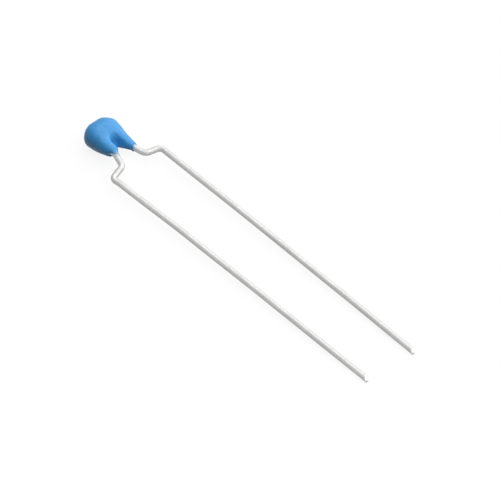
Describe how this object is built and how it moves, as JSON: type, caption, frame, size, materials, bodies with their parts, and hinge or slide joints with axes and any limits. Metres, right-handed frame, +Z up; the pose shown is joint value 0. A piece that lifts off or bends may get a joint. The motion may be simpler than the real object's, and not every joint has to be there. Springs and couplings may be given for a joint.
{
  "type": "multilayer ceramic capacitor",
  "caption": "Multilayer ceramic capacitor dipped in blue epoxy, with two kinked wire leads for a circuit board's holes; stores charge and filters supply noise.",
  "frame": {"origin": "centre of the part's plan outline, on the flat surface that it lies on", "axes": "+X from the dipped body to the lead tips, +Y across the two leads towards the left lead, +Z up from the surface"},
  "size_m": [0.034, 0.0054, 0.0021],
  "materials": {
    "epoxy": "glossy dipped blue epoxy",
    "ceramic": "fired, matt",
    "electrode_metal": "fired silver-palladium, dull",
    "termination_metal": "plated tin over nickel, satin",
    "solder": "tin solder, satin",
    "tinned_wire": "tinned copper-clad steel wire, satin"
  },
  "bodies": {
    "root": {"epoxy_coat": "epoxy", "ceramic_chip": "ceramic", "left_termination": "termination_metal", "right_termination": "termination_metal", "left_solder": "solder", "right_solder": "solder", "left_lead": "tinned_wire", "right_lead": "tinned_wire", "electrode_01": "electrode_metal", "electrode_02": "electrode_metal", "electrode_03": "electrode_metal", "electrode_04": "electrode_metal", "electrode_05": "electrode_metal", "electrode_06": "electrode_metal", "electrode_07": "electrode_metal", "electrode_08": "electrode_metal", "electrode_09": "electrode_metal", "electrode_10": "electrode_metal", "electrode_11": "electrode_metal", "electrode_12": "electrode_metal"}
  },
  "joints": []
}
